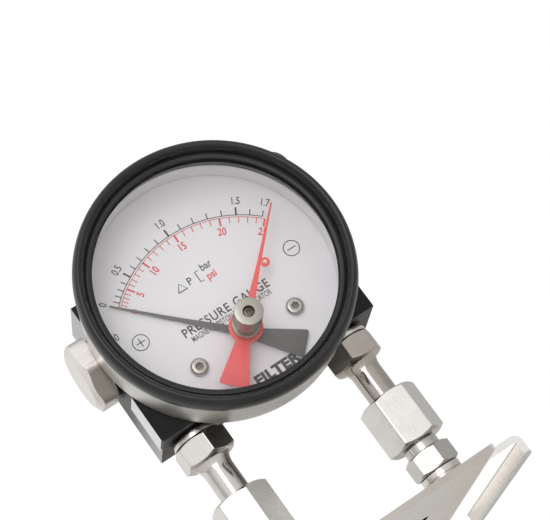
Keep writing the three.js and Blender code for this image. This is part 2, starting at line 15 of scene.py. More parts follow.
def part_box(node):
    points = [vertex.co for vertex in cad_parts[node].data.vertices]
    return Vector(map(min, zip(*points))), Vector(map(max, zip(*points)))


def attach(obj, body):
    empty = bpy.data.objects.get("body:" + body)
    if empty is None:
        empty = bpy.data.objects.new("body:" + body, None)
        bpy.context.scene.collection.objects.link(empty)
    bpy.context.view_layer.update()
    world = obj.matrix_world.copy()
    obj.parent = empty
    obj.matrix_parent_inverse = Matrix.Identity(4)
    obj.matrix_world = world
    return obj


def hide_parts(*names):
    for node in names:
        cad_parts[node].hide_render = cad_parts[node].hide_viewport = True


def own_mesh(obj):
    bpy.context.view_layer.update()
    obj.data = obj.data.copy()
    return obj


MM = 0.001
BODY = "gauge_body"
POINTER = "pointer_set"
FOLLOWER = "follower_set"

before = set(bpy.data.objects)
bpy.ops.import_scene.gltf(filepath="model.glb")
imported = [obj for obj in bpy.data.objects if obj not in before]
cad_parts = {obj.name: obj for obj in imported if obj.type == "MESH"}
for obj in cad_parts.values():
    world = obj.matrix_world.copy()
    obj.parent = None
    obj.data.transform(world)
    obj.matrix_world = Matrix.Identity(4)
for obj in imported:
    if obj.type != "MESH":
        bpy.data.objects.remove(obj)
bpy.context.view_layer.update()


def middle(node):
    """The middle of a CAD node's box, in metres in the row frame."""
    low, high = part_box(node)
    return (low + high) / 2


pivot = middle("pointer_arbor")
pivot.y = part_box("dial_plate")[0].y
DIAL_CENTRE = (0, 0, (middle("dial_plate").z - pivot.z) / MM)


def put(point):
    """A point in millimetres from the pivot, in metres in the row frame."""
    return pivot + Vector(point) * MM


# ---------------------------------------------------------------- materials
class Surface:
    """A Principled material whose colour, roughness and relief come from noise in the row frame."""

    def __init__(self, name, colour, rough, metal=0.0, **sockets):
        self.material = bpy.data.materials.new(name)
        self.material.use_nodes = True
        self.nodes = self.material.node_tree.nodes
        self.links = self.material.node_tree.links
        self.shader = self.nodes["Principled BSDF"]
        self.colour = colour
        self.rough = rough
        self.set("Metallic", metal)
        self.set("Roughness", rough)
        for socket, value in sockets.items():
            self.set(socket.replace("_", " "), value)
        self.where = self.nodes.new("ShaderNodeTexCoord").outputs["Object"]
        self.height = None
        self.tint = None

    def set(self, socket, value):
        self.shader.inputs[socket].default_value = value

    def split(self, vector):
        """The X, Y and Z sockets of a vector."""
        node = self.nodes.new("ShaderNodeSeparateXYZ")
        self.links.new(vector, node.inputs[0])
        return node.outputs

    def facing(self, kind="True Normal"):
        """The X, Y and Z sockets of the way the surface faces."""
        return self.split(self.nodes.new("ShaderNodeNewGeometry").outputs[kind])

    def math(self, operation, a, b=None):
        node = self.nodes.new("ShaderNodeMath")
        node.operation = operation
        for index, value in enumerate((a, b)):
            if value is None:
                continue
            if isinstance(value, (int, float)):
                node.inputs[index].default_value = value
            else:
                self.links.new(value, node.inputs[index])
        return node.outputs[0]

    def noise(self, size, detail=3.0, stretch=(1, 1, 1)):
        """Noise whose features are about size millimetres, drawn out along an axis of stretch."""
        mapping = self.nodes.new("ShaderNodeMapping")
        mapping.inputs["Scale"].default_value = [1 / (size * MM * s) for s in stretch]
        self.links.new(self.where, mapping.inputs["Vector"])
        node = self.nodes.new("ShaderNodeTexNoise")
        node.inputs["Scale"].default_value = 1.0
        node.inputs["Detail"].default_value = detail
        node.inputs["Roughness"].default_value = 0.55
        self.links.new(mapping.outputs[0], node.inputs["Vector"])
        return node.outputs["Fac"]

    def spread(self, value, low, high, from_low=0.3, from_high=0.7):
        """Low to high as value goes from from_low to from_high, and flat beyond them."""
        node = self.nodes.new("ShaderNodeMapRange")
        self.links.new(value, node.inputs["Value"])
        for socket, number in (
            ("From Min", from_low), ("From Max", from_high), ("To Min", low), ("To Max", high),
        ):
            node.inputs[socket].default_value = number
        return node.outputs[0]

    def mix(self, factor, first, second):
        """First where factor is 0 and second where it is 1; each is a colour or a socket."""
        node = self.nodes.new("ShaderNodeMix")
        node.data_type = "RGBA"
        self.links.new(factor, node.inputs["Factor"])
        for index, value in ((6, first), (7, second)):
            if isinstance(value, (tuple, list)):
                node.inputs[index].default_value = (*value, 1)
            else:
                self.links.new(value, node.inputs[index])
        return node.outputs[2]

    def tone(self, value, amount):
        """Darkens and lightens the colour by amount where value is low and high."""
        dark = [c * (1 - amount) for c in self.colour]
        light = [min(1, c * (1 + amount)) for c in self.colour]
        self.tint = self.mix(self.spread(value, 0, 1), dark, light)
        return self

    def stain(self, value, colour, amount):
        """Lays another colour over the first by as much as amount where value is high."""
        self.tint = self.mix(self.spread(value, 0, amount, 0.45, 0.75), self.tint, colour)
        return self

    def gloss(self, value, amount):
        """Varies the roughness by amount either way."""
        low, high = max(0.02, self.rough - amount), min(1, self.rough + amount)
        self.links.new(self.spread(value, low, high), self.shader.inputs["Roughness"])
        return self

    def relief(self, value, depth):
        """Adds bumps of about depth millimetres."""
        scaled = self.math("MULTIPLY", value, depth)
        self.height = scaled if self.height is None else self.math("ADD", self.height, scaled)
        return self

    def done(self):
        if self.tint is not None:
            self.links.new(self.tint, self.shader.inputs["Base Color"])
        if self.height is not None:
            bump = self.nodes.new("ShaderNodeBump")
            bump.inputs["Strength"].default_value = 1.0
            bump.inputs["Distance"].default_value = MM
            self.links.new(self.height, bump.inputs["Height"])
            self.links.new(bump.outputs[0], self.shader.inputs["Normal"])
        return self.material


def grained(name, colour, rough, stretch, size=0.16, tone=0.12, gloss=0.07, relief=0.004, **more):
    """Metal with fine parallel marks along the axes that stretch draws out."""
    surface = Surface(name, colour, rough, metal=1.0, **more)
    marks = surface.noise(size, 4, stretch)
    clouds = surface.noise(9, 3)
    surface.tone(marks, tone).stain(clouds, [c * 0.93 for c in colour], 0.25)
    surface.gloss(clouds, gloss).relief(marks, relief)
    return surface.done()


def plain(name, colour, rough, size=0.5, tone=0.06, gloss=0.05, relief=0.004, **more):
    """Paint, rubber or plastic with an even fine texture and faint clouding."""
    surface = Surface(name, colour, rough, **more)
    grain = surface.noise(size, 4)
    clouds = surface.noise(14, 2)
    surface.tone(clouds, tone).gloss(clouds, gloss).relief(grain, relief)
    return surface.done()


ROUND_Y = (120, 1, 120)
ROUND_Z = (60, 60, 1)
ALONG_Z = (1, 1, 90)
ALONG_Y = (1, 120, 1)

case_steel = grained("case_steel", (0.64, 0.63, 0.61), 0.4, ROUND_Y, size=0.22)
turned_steel = grained("turned_steel", (0.70, 0.675, 0.64), 0.2, ROUND_Z, size=0.2, tone=0.08)
hex_steel = grained("hex_steel", (0.73, 0.715, 0.69), 0.27, (1, 1, 8), size=0.35, tone=0.07,
                    gloss=0.03, relief=0.003)
stud_steel = grained("stud_steel", (0.58, 0.565, 0.54), 0.3, (1, 1, 4), size=0.4, tone=0.09,
                     gloss=0.03)
knob_steel = grained("knob_steel", (0.40, 0.38, 0.34), 0.42, (1, 30, 1), size=0.5, tone=0.1)
screw_steel = grained("screw_steel", (0.44, 0.415, 0.38), 0.27, (1, 1, 1), size=0.5, tone=0.14,
                      relief=0.012)
hidden_steel = grained("hidden_steel", (0.6, 0.6, 0.59), 0.3, (60, 1, 1))
hidden_brass = grained("hidden_brass", (0.69, 0.55, 0.34), 0.35, ROUND_Y)
bushing_metal = grained("bushing_metal", (0.50, 0.42, 0.33), 0.4, ROUND_Y)
magnet_grey = plain("magnet_grey", (0.09, 0.088, 0.085), 0.5, size=0.3, tone=0.2)
bezel_rubber = plain("bezel_rubber", (0.012, 0.0125, 0.014), 0.3, size=0.35, tone=0.15,
                     relief=0.003, Specular_IOR_Level=0.4)
seal_rubber = plain("seal_rubber", (0.02, 0.02, 0.021), 0.55, size=0.3, tone=0.15)
dial_white = plain("dial_white", (0.77, 0.755, 0.785), 0.42, size=0.8, tone=0.012, relief=0.0015)
inner_grey = plain("inner_grey", (0.78, 0.77, 0.79), 0.5, size=0.5, tone=0.05)
print_dark = plain("print_dark", (0.03, 0.028, 0.028), 0.5, size=0.4, tone=0.12, relief=0.001)
print_red = plain("print_red", (0.70, 0.085, 0.075), 0.5, size=0.4, tone=0.06, relief=0.001)
pointer_grey = plain("pointer_grey", (0.10, 0.095, 0.091), 0.42, size=0.4, tone=0.05, relief=0.003)
pointer_red = plain("pointer_red", (0.78, 0.066, 0.064), 0.42, size=0.4, tone=0.04, relief=0.003)
pin_cream = plain("pin_cream", (0.86, 0.78, 0.62), 0.45, size=0.3)
label_white = plain("label_white", (0.78, 0.79, 0.82), 0.4, size=0.6, tone=0.04)

# In millimetres: the height in the row frame of the painted shade on the block's left end, by
# the plug's lower edge, and how far above and below it the painted sheen starts and is full.
PAINTED_SHADE_Z = 114
PAINTED_SHEEN_FROM, PAINTED_SHEEN_TO = 6, 32


def anodised_black():
    """Black with a painted sheen on the block's left end, and painted shade by the plug."""
    surface = Surface("anodised_black", (0.0115, 0.011, 0.0115), 0.36)
    grain = surface.noise(0.22, 4, (1, 18, 1))
    clouds = surface.noise(16, 3)
    end_face = surface.math("LESS_THAN", surface.facing()["X"], -0.9)
    height = surface.math("SUBTRACT", surface.split(surface.where)["Z"], PAINTED_SHADE_Z * MM)
    away = surface.spread(surface.math("ABSOLUTE", height), 0, 1, PAINTED_SHEEN_FROM * MM, PAINTED_SHEEN_TO * MM)
    # Painted sheen: shine and coat follow height on the end face.
    painted_sheen = surface.math("MULTIPLY", end_face, away)
    inputs = surface.shader.inputs
    surface.links.new(surface.spread(painted_sheen, 0.16, 1.0, 0, 1), inputs["Specular IOR Level"])
    surface.links.new(painted_sheen, inputs["Coat Weight"])
    surface.tone(grain, 0.22).stain(clouds, (0.02, 0.02, 0.021), 0.5)
    return surface.gloss(clouds, 0.05).relief(grain, 0.003).done()


# The bracket's looks in millimetres, Z from the row frame's floor, X either side of its middle
# and HOLE_Y from the pivot. Each pair is where a change of colour starts and ends; most of these
# colours are painted light and shade.
UNDERSIDE_Z = 3.2  # above this, what faces down is the sheet and not a flange's lower edge
SHEAR_Z = (1.3, 1.6)
GREY_X = (18, 48)
BAND_X = (56.4, 58.6)
HOLE_X, HOLE_Y = 28.5, 61
# The hole and its wall are painted shade, near black.
HOLE_SHADE_RADIUS = 5.3  # a little more than the hole's 5, so that its wall is dark too
# How strongly the painted highlight beside the folds glows.
PAINTED_GLOW = 0.6


def folded_sheet():
    """Sheet grained along its folds, shear marks on its lower edges, and painted light and shade.
    """
    colour = (0.72, 0.665, 0.61)
    surface = Surface("folded_sheet", colour, 0.3, metal=1.0)
    marks = surface.noise(0.3, 4, ALONG_Y)
    clouds = surface.noise(16, 3)
    surface.tone(marks, 0.05).stain(clouds, [c * 0.93 for c in colour], 0.4)
    where = surface.split(surface.where)
    facing = surface.facing()
    aside = surface.math("ABSOLUTE", where["X"])

    def both(a, b):
        return surface.math("MULTIPLY", a, b)

    def faces_along(axis):
        return surface.math("GREATER_THAN", surface.math("ABSOLUTE", facing[axis]), 0.7)

    down = surface.math("LESS_THAN", facing["Z"], -0.7)
    front, inward = faces_along("Y"), faces_along("X")
    high = surface.math("GREATER_THAN", where["Z"], UNDERSIDE_Z * MM)
    low = surface.spread(where["Z"], 1, 0, *(z * MM for z in SHEAR_Z))
    outer = surface.spread(aside, 0, 1, *(x * MM for x in BAND_X))
    # Painted highlight: the downward faces beside the folds are near white and glow.
    painted_highlight = both(outer, both(high, down))
    painted_tip_light = both(outer, front)
    hole_x = surface.math("SUBTRACT", aside, HOLE_X * MM)
    hole_y = surface.math("SUBTRACT", where["Y"], pivot.y + HOLE_Y * MM)
    spread = surface.math("ADD", both(hole_x, hole_x), both(hole_y, hole_y))
    hole = surface.math("LESS_THAN", spread, (HOLE_SHADE_RADIUS * MM) ** 2)

    shear = surface.noise(0.4, 3, (40, 1, 1))
    cut = surface.mix(surface.spread(shear, 0, 1), (0.46, 0.47, 0.445), (0.64, 0.65, 0.62))
    near = surface.spread(aside, 1, 0, *(x * MM for x in GREY_X))
    grey = surface.mix(near, surface.tint, (0.74, 0.74, 0.715))
    # Painted light and shade by face direction: tan inner flange faces, dark front faces, pale
    # ends.
    tan = surface.mix(both(inward, outer), grey, (0.69, 0.625, 0.575))
    tan = surface.mix(front, tan, (0.52, 0.485, 0.45))
    tan = surface.mix(painted_tip_light, tan, (0.88, 0.87, 0.86))
    tan = surface.mix(painted_highlight, tan, (0.98, 0.98, 0.975))
    tan = surface.mix(low, tan, cut)
    # Painted shade, near black, in the hole and on its wall.
    surface.tint = surface.mix(hole, tan, (0.012, 0.011, 0.011))
    surface.links.new(both(painted_highlight, PAINTED_GLOW), surface.shader.inputs["Emission Strength"])
    surface.set("Emission Color", (1, 1, 1, 1))
    surface.gloss(clouds, 0.05).relief(marks, 0.0015)
    return surface.relief(both(low, shear), 0.03).done()


def clear_pane():
    """Nearly clear, with a weak shine."""
    surface = Surface("clear_pane", (0.93, 0.94, 0.95), 0.05, Alpha=0.035, IOR=1.45,
                      Specular_IOR_Level=0.12)
    haze = surface.noise(30, 2)
    return surface.tone(haze, 0.03).done()


def polished_neck(name, colour, low, high, shade=None):
    """Hexagon steel, mirror-like between two heights; shade is the colour of painted shade where it
    faces +X.
    """
    surface = Surface(name, colour, 0.24, metal=1.0)
    marks = surface.noise(0.25, 4, ALONG_Z)
    clouds = surface.noise(9, 3)
    surface.tone(marks, 0.06).stain(clouds, [c * 0.75 for c in colour], 0.4)
    if shade:
        # Painted shade on the faces turned towards +X.
        turned = surface.spread(surface.facing("Normal")["X"], 0, 0.85, 0.3, 0.62)
        surface.tint = surface.mix(turned, surface.tint, shade)
    height = surface.split(surface.where)["Z"]
    above = surface.math("GREATER_THAN", height, pivot.z + low * MM)
    below = surface.math("LESS_THAN", height, pivot.z + high * MM)
    neck = surface.math("MULTIPLY", above, below)
    satin = surface.spread(clouds, 0.19, 0.3)
    rough = surface.math("SUBTRACT", satin, surface.math("MULTIPLY", neck, 0.13))
    surface.links.new(rough, surface.shader.inputs["Roughness"])
    return surface.relief(marks, 0.003).done()


def machined_plug():
    """Plug steel with marks along its axis, and painted shade on the flats that face forward and
    down.
    """
    surface = Surface("plug_steel", (0.78, 0.75, 0.715), 0.3, metal=1.0)
    marks = surface.noise(0.45, 4, (30, 1, 1))
    clouds = surface.noise(5, 3)
    facing = surface.facing("Normal")
    forward = surface.math("MULTIPLY", facing["Y"], -0.8)
    low = surface.math("ADD", forward, surface.math("MULTIPLY", facing["Z"], -0.6))
    # Painted shade on the flats turned forward and down.
    plug_painted_shade = surface.spread(low, 0, 0.85, 0.72, 0.9)
    surface.tone(marks, 0.12)
    surface.tint = surface.mix(plug_painted_shade, surface.tint, (0.27, 0.235, 0.205))
    return surface.gloss(clouds, 0.06).relief(marks, 0.006).done()


plug_steel = machined_plug()
NECK_Z = (-51.5, -33.3)
PAINTED_SHADE_SIDE = (0.10, 0.088, 0.078)
adaptor_steel = {
    "left": polished_neck("adaptor_steel_left", (0.70, 0.68, 0.65), *NECK_Z, PAINTED_SHADE_SIDE),
    # The right adaptor's steel is a darker copy of the left's: painted shade.
    "right": polished_neck("adaptor_steel_right", (0.47, 0.435, 0.395), *NECK_Z),
}
block_black = anodised_black()
sheet_steel = folded_sheet()
window_clear = clear_pane()


# ---------------------------------------------------------------- shapes
def circle(count):
    """Count angles evenly round a circle."""
    return [2 * math.pi * k / count for k in range(count)]


def hexagon(across_flats, turn, ease=0.5):
    """The radius at an angle of a hexagon with eased corners, one at turn, and its angles."""
    corner = math.radians(turn)
    reach = (across_flats / 2 - ease) / math.cos(math.pi / 6)
    arc = math.atan2(ease / 2, reach + ease * math.cos(math.pi / 6))

    def radius(angle):
        off = (angle - corner + math.pi / 6) % (math.pi / 3) - math.pi / 6
        if abs(off) < arc:
            return reach * math.cos(off) + math.sqrt(ease**2 - (reach * math.sin(off)) ** 2)
        return across_flats / 2 / math.cos(math.pi / 6 - abs(off))

    near = [-arc, -arc / 2, 0, arc / 2, arc]
    shares = (0.03, 0.12, 0.26, 0.4, 0.5, 0.6, 0.74, 0.88, 0.97)
    flat = [arc + (math.pi / 3 - 2 * arc) * t for t in shares]
    angles = [corner + k * math.pi / 3 + off for k in range(6) for off in near + flat]
    return radius, angles


def value_at(value, angle):
    """A radius or height that may depend on the angle."""
    return value(angle) if callable(value) else value


def loft(axis, rings, angles, centre=(0, 0, 0), closed=False):
    """Vertices and faces of rings of (radius, height) joined in order round a line along axis."""
    verts, loops = [], []
    for radius, height in rings:
        if radius == 0:
            around = [(0.0, 0.0, value_at(height, 0))]
        else:
            around = [
                (value_at(radius, a) * math.cos(a), value_at(radius, a) * math.sin(a),
                 value_at(height, a))
                for a in angles
            ]
        loops.append(range(len(verts), len(verts) + len(around)))
        for u, v, h in around:
            point = {"x": (h, u, v), "y": (u, h, v), "z": (u, v, h)}[axis]
            verts.append(tuple(c + d for c, d in zip(centre, point)))
    pairs = list(zip(loops, loops[1:])) + ([(loops[-1], loops[0])] if closed else [])
    faces, count = [], len(angles)
    for first, second in pairs:
        for k in range(count):
            n = (k + 1) % count
            if len(first) == 1:
                faces.append((first[0], second[n], second[k]))
            elif len(second) == 1:
                faces.append((first[k], first[n], second[0]))
            else:
                faces.append((first[k], first[n], second[n], second[k]))
    return verts, faces


def eased(profile, radius=0.2, steps=3, loop=False):
    """The profile with its corners rounded; a point's third number is its own radius."""
    count = len(profile)
    out = []
    for k, point in enumerate(profile):
        corner = Vector(point[:2])
        ease = point[2] if len(point) > 2 else radius
        if ease == 0 or (not loop and k in (0, count - 1)):
            out.append(tuple(corner))
            continue
        back = Vector(profile[k - 1][:2]) - corner
        on = Vector(profile[(k + 1) % count][:2]) - corner
        turn = back.angle(on)
        if turn > math.radians(172):
            out.append(tuple(corner))
            continue
        reach = min(ease / math.tan(turn / 2), back.length * 0.45, on.length * 0.45)
        start, end = corner + back.normalized() * reach, corner + on.normalized() * reach
        for step in range(steps + 1):
            t = step / steps
            out.append(tuple(start * (1 - t) ** 2 + corner * (2 * t * (1 - t)) + end * t**2))
    return out


def closed_mesh(name, shape):
    """A mesh from millimetre vertices and faces, facing outwards."""
    verts, faces = shape
    mesh = bpy.data.meshes.new(name)
    mesh.from_pydata([put(v) for v in verts], [], faces)
    solid = bmesh.new()
    solid.from_mesh(mesh)
    bmesh.ops.recalc_face_normals(solid, faces=solid.faces)
    solid.to_mesh(mesh)
    solid.free()
    return mesh


def piece(name, shape, material, body=BODY, stands_for=(), sharp=32):
    """A piece of the visual model, riding on a body and standing for CAD nodes."""
    mesh = closed_mesh(name, shape)
    mesh.shade_smooth()
    mesh.set_sharp_from_angle(angle=math.radians(sharp))
    mesh.materials.append(material)
    obj = bpy.data.objects.new(name, mesh)
    bpy.context.scene.collection.objects.link(obj)
    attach(obj, body)
    if stands_for:
        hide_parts(*stands_for)
    return obj


def bored(obj, tools):
    """Cuts closed shapes out of a piece."""
    cutters = []
    for number, shape in enumerate(tools):
        mesh = closed_mesh("tool_%d" % number, shape)
        cutter = bpy.data.objects.new(mesh.name, mesh)
        bpy.context.scene.collection.objects.link(cutter)
        modifier = obj.modifiers.new(mesh.name, "BOOLEAN")
        modifier.object = cutter
        modifier.solver = "EXACT"
        cutters.append(cutter)
    bpy.context.view_layer.update()
    graph = bpy.context.evaluated_depsgraph_get()
    obj.data = bpy.data.meshes.new_from_object(obj.evaluated_get(graph))
    obj.modifiers.clear()
    for cutter in cutters:
        bpy.data.objects.remove(cutter)


def joined(shapes):
    """Several shapes as one."""
    verts, faces = [], []
    for more_verts, more_faces in shapes:
        start = len(verts)
        verts += more_verts
        faces += [tuple(start + i for i in face) for face in more_faces]
    return verts, faces


def curve_mesh(curve):
    """The flat curve or text, filled and given its thickness, as vertices and faces."""
    holder = bpy.data.objects.new(curve.name, curve)
    bpy.context.scene.collection.objects.link(holder)
    bpy.context.view_layer.update()
    graph = bpy.context.evaluated_depsgraph_get()
    mesh = bpy.data.meshes.new_from_object(holder.evaluated_get(graph))
    solid = bmesh.new()
    solid.from_mesh(mesh)
    bmesh.ops.remove_doubles(solid, verts=solid.verts, dist=1e-5)
    verts = [tuple(v.co) for v in solid.verts]
    faces = [tuple(v.index for v in f.verts) for f in solid.faces]
    solid.free()
    bpy.data.meshes.remove(mesh)
    bpy.data.objects.remove(holder)
    bpy.data.curves.remove(curve)
    return verts, faces


def on_dial(shape, front, degrees=0.0, at=(0, 0), narrow=1.0):
    """Stands a flat shape up on the dial, turned by degrees from +X towards +Z."""
    verts, faces = shape
    c, s = math.cos(math.radians(degrees)), math.sin(math.radians(degrees))
    moved = []
    for u, v, depth in verts:
        u = u * narrow
        moved.append((at[0] + u * c - v * s, front - depth, at[1] + u * s + v * c))
    return moved, faces


def cut_plate(name, loops, thickness, ease=0.08):
    """A flat outline with holes, its edges eased, centred on depth 0."""
    curve = bpy.data.curves.new(name, "CURVE")
    curve.dimensions = "2D"
    curve.fill_mode = "BOTH"
    curve.extrude = thickness / 2 - ease
    curve.bevel_depth = ease
    curve.bevel_resolution = 1
    curve.offset = -ease
    for loop in loops:
        spline = curve.splines.new("POLY")
        spline.points.add(len(loop) - 1)
        for point, (u, v) in zip(spline.points, loop):
            point.co = (u, v, 0, 1)
        spline.use_cyclic_u = True
    return curve_mesh(curve)


def arc(radius, start, end, steps, centre=(0, 0)):
    """Points of a circle's arc between two angles in degrees."""
    angles = [math.radians(start + (end - start) * k / steps) for k in range(steps + 1)]
    return [(centre[0] + radius * math.cos(a), centre[1] + radius * math.sin(a)) for a in angles]


# ---------------------------------------------------------------- case, bezel and window
FINE = circle(160)
DIAL_SCREW_X, DIAL_SCREW_Z = 24.1, -2
ARBOR_HOLE_RADIUS, SCREW_HOLE_RADIUS = 6.8, 2.3

# Profiles are (radius, y), y growing away from the viewer.
case_profile = eased([
    (0, 3.5), (56.9, 3.5, 1.0), (56.9, -19.5), (55.7, -19.5), (55.7, 2.3), (0, 2.3),
], steps=4)
case_shell = piece("case_shell", loft("y", case_profile, FINE, DIAL_CENTRE), case_steel,
                   stands_for=["case_cup"])
bored(case_shell, [
    loft("y", [(0, 1), (radius, 1), (radius, 5), (0, 5)], circle(48), (x, 0, z))
    for radius, x, z in (
        (ARBOR_HOLE_RADIUS, 0, 0), (SCREW_HOLE_RADIUS, -DIAL_SCREW_X, DIAL_SCREW_Z),
        (SCREW_HOLE_RADIUS, DIAL_SCREW_X, DIAL_SCREW_Z),
    )
])

# The bezel's section is half an ellipse outside, then a groove, a flat lip and the opening.
BEAD_RADIUS, BEAD_Y, BEAD_HALF_WIDTH, BEAD_HEIGHT = 55.9, -20.4, 2.6, 6.1
BEAD_STEPS, BEAD_END = 24, 162
bead = []
for step in range(BEAD_STEPS + 1):
    angle = math.radians(BEAD_END * step / BEAD_STEPS)
    bead.append((
        BEAD_RADIUS + BEAD_HALF_WIDTH * math.cos(angle), BEAD_Y - BEAD_HEIGHT * math.sin(angle), 0,
    ))
bezel_profile = eased([
    (57.2, -19.8), (57.2, -16.9), (58.2, -17.8, 0.5), *bead, (53.2, -21.8, 0.3),
    (52.7, -22.5, 0.6), (51.1, -22.3, 0.8), (50.5, -21.7, 0.4), (51.3, -14.7), (55.4, -14.7),
    (55.4, -19.8),
], loop=True)
piece("bezel", loft("y", bezel_profile, FINE, DIAL_CENTRE, closed=True), bezel_rubber,
      stands_for=["bezel_ring"], sharp=70)

# A thin near-black ring at the bezel's opening: a painted shadow line.
lip_shadow = plain("lip_shadow", (0.003, 0.003, 0.003), 0.6, size=0.4, Specular_IOR_Level=0.05)
lip = eased([(50.4, -21.6), (50.9, -21.6), (50.9, -18.6), (50.45, -18.6)], radius=0.1, loop=True)
piece("bezel_shadow_ring", loft("y", lip, FINE, DIAL_CENTRE, closed=True), lip_shadow)

for name, inner, low, high, material, slot, node in (
    ("wall_ring", 52.6, -10.1, -0.3, inner_grey, "inner_grey", "spacer_ring"),
    ("pane_seal", 52.8, -11.9, -10.4, seal_rubber, "seal_rubber", "window_gasket"),
):
    profile = eased([(inner, low), (55.2, low), (55.2, high), (inner, high)], loop=True)
    piece(name, loft("y", profile, FINE, DIAL_CENTRE, closed=True), material,
          stands_for=[node])

VENT = math.radians(30)
VENT_Y = -10.5


def vent_plug():
    """The plug in the case's side, pointing away from the dial's centre at the angle VENT."""
    profile = eased([
        (0, 57.2), (5.2, 57.2, 0.3), (5.2, 61.8, 0.6), (4.4, 63.0, 0.9), (0, 63.0),
    ], steps=5)
    verts, faces = loft("x", profile, circle(40))
    turned = []
    for h, u, v in verts:
        turned.append((
            h * math.cos(VENT) - v * math.sin(VENT), u + VENT_Y,
            h * math.sin(VENT) + v * math.cos(VENT) + DIAL_CENTRE[2],
        ))
    return turned, faces


piece("vent_plug", vent_plug(), seal_rubber, stands_for=["case_vent_plug"])


# ---------------------------------------------------------------- dial print
PRINT_FRONT = -0.045
PRINT_THICK = 0.03
CAPITAL_SHARE = 0.69  # a capital's height as a share of the font's size


def text(words, size, at, degrees=0.0, narrow=1.0, weight=0.0, spacing=1.0):
    """Words centred at a point on the dial; size is the height of a capital letter."""
    curve = bpy.data.curves.new("words", "FONT")
    curve.body = words
    curve.size = size / CAPITAL_SHARE
    curve.space_character = spacing
    curve.align_x = "CENTER"
    curve.align_y = "CENTER"
    curve.extrude = PRINT_THICK / 2
    curve.offset = weight
    curve.resolution_u = 4
    return on_dial(curve_mesh(curve), PRINT_FRONT + PRINT_THICK / 2, degrees, at, narrow)


def strip(points, width):
    """A printed line of constant width through points of the dial."""
    left, right = [], []
    for k, point in enumerate(points):
        before = Vector(points[max(k - 1, 0)])
        after = Vector(points[min(k + 1, len(points) - 1)])
        along = (after - before).normalized()
        side = Vector((-along.y, along.x)) * width / 2
        left.append(Vector(point) + side)
        right.append(Vector(point) - side)
    verts = []
    for y in (PRINT_FRONT, PRINT_FRONT + PRINT_THICK):
        verts += [(p.x, y, p.y) for p in left] + [(p.x, y, p.y) for p in right]
    n = len(points)
    faces = []
    for k in range(n - 1):
        faces.append((k, k + 1, n + k + 1, n + k))
        faces.append((2 * n + k, 3 * n + k, 3 * n + k + 1, 2 * n + k + 1))
        faces.append((k, 2 * n + k, 2 * n + k + 1, k + 1))
        faces.append((n + k, n + k + 1, 3 * n + k + 1, 3 * n + k))
    faces.append((0, n, 3 * n, 2 * n))
    faces.append((n - 1, 3 * n - 1, 4 * n - 1, 2 * n - 1))
    return verts, faces


def polar(radius, degrees):
    """A point of the dial by its distance and angle from the pivot."""
    return (radius * math.cos(math.radians(degrees)), radius * math.sin(math.radians(degrees)))


PSI_PER_BAR = 14.504
LINE_WIDTH = 0.46
PLUS_AT, MINUS_AT = (-38.1, 20.4), (38.3, 20.5)
SIGN_RADIUS, SIGN_REACH = 3.5, 2.1

# Radii of each scale: its line, where its ticks start, where the long and short ones end, labels.
BAR_LINE, BAR_TICK, BAR_LONG, BAR_SHORT, BAR_LABEL = 53.45, 53.4, 57.0, 56.2, 59.9
PSI_LINE, PSI_TICK, PSI_LONG, PSI_SHORT, PSI_LABEL = 52.55, 52.6, 48.9, 49.9, 46.3

# Readings in bar and their angles in degrees from +X towards +Z.
READINGS = [
    (0, 134.5), (0.3447, 124.6), (0.5, 119.15), (0.6895, 109.2), (1.0, 92.6), (1.034, 90.0),
    (1.379, 67.0), (1.5, 59.3), (1.7, 47.2), (1.724, 45.8),
]
SCALE_CURVE = np.polyfit([r[0] for r in READINGS], [r[1] for r in READINGS], 4)


def dial_angle(bar):
    """The angle of a reading in bar, in degrees from +X towards +Z."""
    return float(np.polyval(SCALE_CURVE, bar))


def dark_print():
    """The bar scale, the signs and the words."""
    shapes = [strip(arc(BAR_LINE, dial_angle(0), dial_angle(1.7), 80), 0.36)]
    for tenth in range(18):
        degrees = dial_angle(tenth / 10)
        bold = tenth % 5 == 0
        ends = [polar(BAR_TICK, degrees), polar(BAR_LONG if bold else BAR_SHORT, degrees)]
        shapes.append(strip(ends, 0.8 if bold else LINE_WIDTH))
    for bar, label in ((0, "0"), (0.5, "0.5"), (1.0, "1.0"), (1.5, "1.5"), (1.7, "1.7")):
        degrees = dial_angle(bar)
        shapes.append(text(label, 3.3, polar(BAR_LABEL, degrees), degrees - 90, 0.74, 0.05))
    triangle = [(-12.9, 29.7), (-8.5, 29.7), (-10.7, 33.1), (-12.9, 29.7)]
    shapes.append(strip(triangle, LINE_WIDTH))
    shapes.append(strip([(-12.95, 29.7), (-8.45, 29.7)], LINE_WIDTH))
    shapes.append(text("P", 3.4, (-6.1, 31.6), 0, 0.9, 0.05))
    brace = [(-0.5, 33.9), (-2.2, 33.9), (-2.2, 28.9), (-0.5, 28.9)]
    shapes.append(strip(brace, LINE_WIDTH))
    shapes.append(text("bar", 3.4, (3.4, 34.1), 0, 0.82, 0.06))
    shapes.append(text("PRESSURE GAUGE", 3.9, (-0.3, 13.3), 0, 0.87, 0.09, 1.12))
    for x, z in (PLUS_AT, MINUS_AT):
        shapes.append(strip(arc(SIGN_RADIUS, 0, 360, 48, (x, z)), 0.42))
        shapes.append(strip([(x - SIGN_REACH, z), (x + SIGN_REACH, z)], LINE_WIDTH))
    x, z = PLUS_AT
    shapes.append(strip([(x, z - SIGN_REACH), (x, z + SIGN_REACH)], LINE_WIDTH))
    shapes.append(text("2.0", 3.3, (-46.5, 27.7), 0, 0.75, 0.05))
    shapes.append(text("FILTER", 4.3, (2.2, -20.4), 0, 1.12, 0.34, 1.05))
    return joined(shapes)


